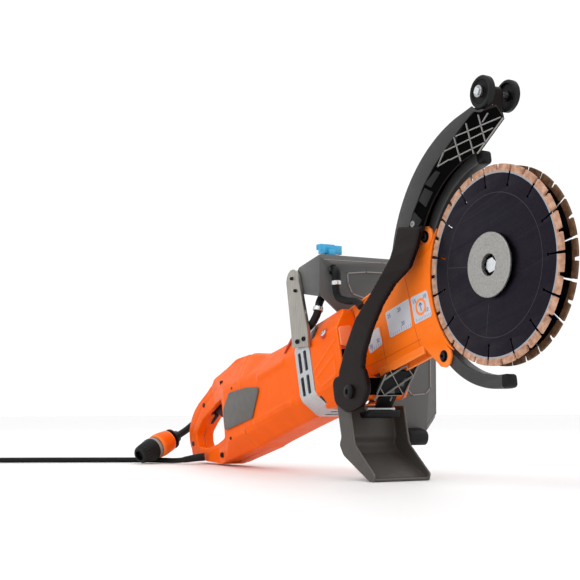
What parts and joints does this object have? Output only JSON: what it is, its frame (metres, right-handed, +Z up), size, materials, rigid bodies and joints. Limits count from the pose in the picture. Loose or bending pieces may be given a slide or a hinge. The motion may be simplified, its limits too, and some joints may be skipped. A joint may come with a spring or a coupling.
{
  "type": "twin-blade concrete saw",
  "caption": "Corded electric power cutter with twin blades on a belt-driven arm, swinging blade guard, spray scoop, front loop handle and rear trigger handle.",
  "frame": {"origin": "on the floor, under the middle of the machine without its free cord and hose", "axes": "+X towards the blades, +Y towards the machine's far side from the bracket, +Z up"},
  "size_m": [1.2319, 0.627, 0.4751],
  "materials": {
    "orange_plastic": "moulded plastic, slightly glossy",
    "orange_plate": "powder-coated steel plate",
    "dark_grey_plastic": "moulded plastic, fine grain",
    "warm_grey_plastic": "moulded plastic, satin",
    "black_plastic": "moulded plastic",
    "black_rubber": "smooth rubber",
    "blue_plastic": "moulded plastic",
    "blade_steel": "black-coated steel core with bare segments",
    "cast_aluminium": "cast, satin",
    "brushed_steel": "brushed",
    "zinc_steel": "zinc plated",
    "copper_winding": "lacquered copper",
    "carbon": "pressed carbon"
  },
  "bodies": {
    "machine": {"arm_frame": "cast_aluminium", "belt_guard_left": "orange_plate", "belt_guard_right": "orange_plate", "blade_hood_lower": "dark_grey_plastic", "blade_hood_upper": "dark_grey_plastic", "brush_left": "carbon", "brush_right": "carbon", "cable_boot": "black_rubber", "cover_left": "dark_grey_plastic", "cover_right": "dark_grey_plastic", "deflector": "black_plastic", "drive_belt": "black_rubber", "front_handle": "black_rubber", "front_shield": "warm_grey_plastic", "gear_housing_left": "orange_plastic", "gear_housing_right": "orange_plastic", "guard_pivot_bolt": "black_plastic", "guard_spring": "brushed_steel", "handle_bracket": "brushed_steel", "handle_shell_left": "orange_plastic", "handle_shell_right": "orange_plastic", "hose_elbow": "black_plastic", "hose_gland": "black_rubber", "hose_to_arm": "black_rubber", "hose_to_tap": "black_rubber", "mains_cable": "black_rubber", "mains_cable_coil": "black_rubber", "mains_plug": "black_plastic", "motor_bearing": "brushed_steel", "motor_housing": "orange_plastic", "scoop": "warm_grey_plastic", "scoop_pin": "zinc_steel", "shield_foot": "black_rubber", "stator": "brushed_steel", "switch_block": "black_plastic", "tap_body": "black_plastic", "vent_band": "cast_aluminium", "water_coupling": "black_plastic", "water_hose": "black_rubber"},
    "blades": {"blade_hub": "brushed_steel", "blade_pulley": "brushed_steel", "blade_right": "blade_steel", "blade_left": "blade_steel", "flange_right": "zinc_steel", "flange_left": "zinc_steel", "blade_bolt": "zinc_steel", "blade_nut": "zinc_steel"},
    "drive_shaft": {"drive_pulley": "brushed_steel", "crown_gear": "brushed_steel"},
    "motor_rotor": {"rotor": "copper_winding", "cooling_fan": "black_plastic", "bevel_pinion": "brushed_steel"},
    "guard": {"swing_guard": "dark_grey_plastic", "wheel_axle": "zinc_steel"},
    "wheel_near": {"guard_wheel_right": "black_plastic"},
    "wheel_far": {"guard_wheel_left": "black_plastic"},
    "trigger": {"trigger": "black_plastic"},
    "lockout": {"trigger_lockout": "black_plastic"},
    "tap_lever": {"tap_lever": "blue_plastic"},
    "sleeve": {"coupling_sleeve": "orange_plastic"}
  },
  "joints": [
    {"name": "blade_spin", "type": "hinge", "parent": "machine", "child": "blades", "pos_m": [0.347, -0.052, 0.256], "axis": [0, 1, 0], "continuous": true},
    {"name": "drive_spin", "type": "hinge", "parent": "machine", "child": "drive_shaft", "pos_m": [0.03542, -0.052, 0.15476], "axis": [0, 1, 0], "continuous": true},
    {"name": "motor_spin", "type": "hinge", "parent": "machine", "child": "motor_rotor", "pos_m": [0.03542, -0.052, 0.15476], "axis": [0.9681, 0, 0.2504], "continuous": true},
    {"name": "guard_swing", "type": "hinge", "parent": "machine", "child": "guard", "pos_m": [0.113, -0.052, 0.1144], "axis": [0, 1, 0], "range_deg": [-25, 0], "stiffness_Nm_per_rad": 8, "springref_deg": 34.38},
    {"name": "wheel_near_spin", "type": "hinge", "parent": "guard", "child": "wheel_near", "pos_m": [0.34121, -0.052, 0.45612], "axis": [0, 1, 0], "continuous": true},
    {"name": "wheel_far_spin", "type": "hinge", "parent": "guard", "child": "wheel_far", "pos_m": [0.34121, -0.052, 0.45612], "axis": [0, 1, 0], "continuous": true},
    {"name": "trigger_pull", "type": "hinge", "parent": "machine", "child": "trigger", "pos_m": [-0.32172, -0.052, 0.10991], "axis": [0, 1, 0], "range_deg": [0, 8], "stiffness_Nm_per_rad": 1.2, "springref_deg": -5.73},
    {"name": "lockout_press", "type": "hinge", "parent": "machine", "child": "lockout", "pos_m": [-0.38654, -0.052, 0.08695], "axis": [0, 1, 0], "range_deg": [0, 8], "stiffness_Nm_per_rad": 0.3, "springref_deg": -5.73},
    {"name": "tap_turn", "type": "hinge", "parent": "machine", "child": "tap_lever", "pos_m": [0.002, -0.068, 0.31], "axis": [0, 0, 1], "range_deg": [0, 90]},
    {"name": "sleeve_pull", "type": "slide", "parent": "machine", "child": "sleeve", "axis": [-0.3061, 0.8892, 0.3401], "range_m": [0, 0.004], "stiffness_N_per_m": 400, "springref_m": -0.002}
  ],
  "couplings": [
    {"joint": "drive_spin", "follows": "blade_spin", "ratio": 1.3333},
    {"joint": "motor_spin", "follows": "blade_spin", "ratio": 3.87}
  ]
}
